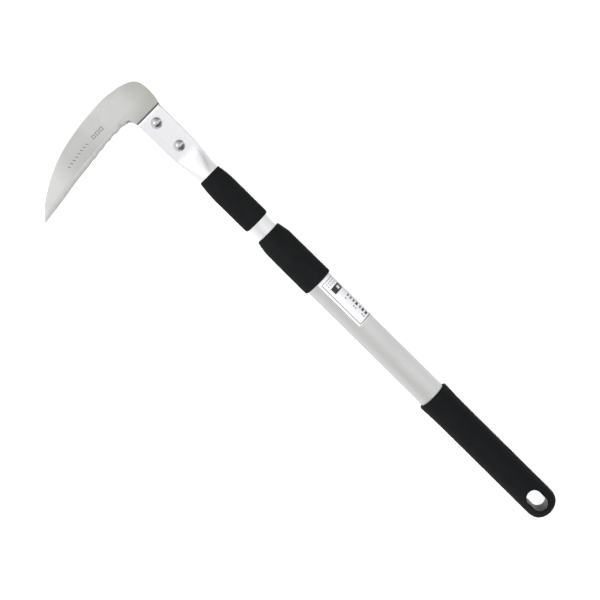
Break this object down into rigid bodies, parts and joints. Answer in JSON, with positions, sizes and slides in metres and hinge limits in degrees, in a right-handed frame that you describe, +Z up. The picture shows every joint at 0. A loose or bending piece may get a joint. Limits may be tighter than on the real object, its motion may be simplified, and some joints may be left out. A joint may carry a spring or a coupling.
{
  "type": "hand sickle",
  "caption": "Telescoping hand sickle: curved steel blade riveted in a flattened aluminium tube that slides in a ribbed outer tube with a twist lock, soft sleeves and a moulded grip.",
  "frame": {"origin": "centre of the tool's footprint, on the floor it lies on", "axes": "+X along the handle towards the blade, +Y towards the side of the blade's tip, +Z up from the floor"},
  "size_m": [0.5924, 0.1622, 0.0339],
  "materials": {
    "blade_steel": "brushed stainless with a ground bevel",
    "aluminium": "bright satin with fine lengthwise ribs",
    "polished_steel": "polished",
    "sleeve_foam": "matt closed-cell foam rubber",
    "moulded_grip": "matt with a fine grain",
    "white_plastic": "smooth",
    "grey_plastic": "smooth",
    "seal_rubber": "smooth",
    "label_film": "printed film"
  },
  "bodies": {
    "handle": {"outer_tube": "aluminium", "handle_grip": "moulded_grip", "tube_plug": "grey_plastic", "middle_sleeve": "sleeve_foam", "mouth_bush": "white_plastic", "label": "label_film"},
    "lock": {"lock_ring": "white_plastic", "drag_ring": "seal_rubber"},
    "head": {"inner_tube": "aluminium", "upper_sleeve": "sleeve_foam", "blade": "blade_steel", "front_rivet": "polished_steel", "rear_rivet": "polished_steel", "front_washer": "polished_steel", "rear_washer": "polished_steel", "guide_collar": "white_plastic", "lock_core": "grey_plastic", "core_pin": "aluminium", "lock_washer": "polished_steel", "lock_screw": "polished_steel"}
  },
  "joints": [
    {"name": "telescope_slide", "type": "slide", "parent": "handle", "child": "lock", "axis": [1, 0, 0], "range_m": [-0.0138, 0.2]},
    {"name": "lock_twist", "type": "hinge", "parent": "lock", "child": "head", "pos_m": [-0.17, -0.06373, 0.01699], "axis": [1, 0, 0], "range_deg": [0, 120]}
  ]
}
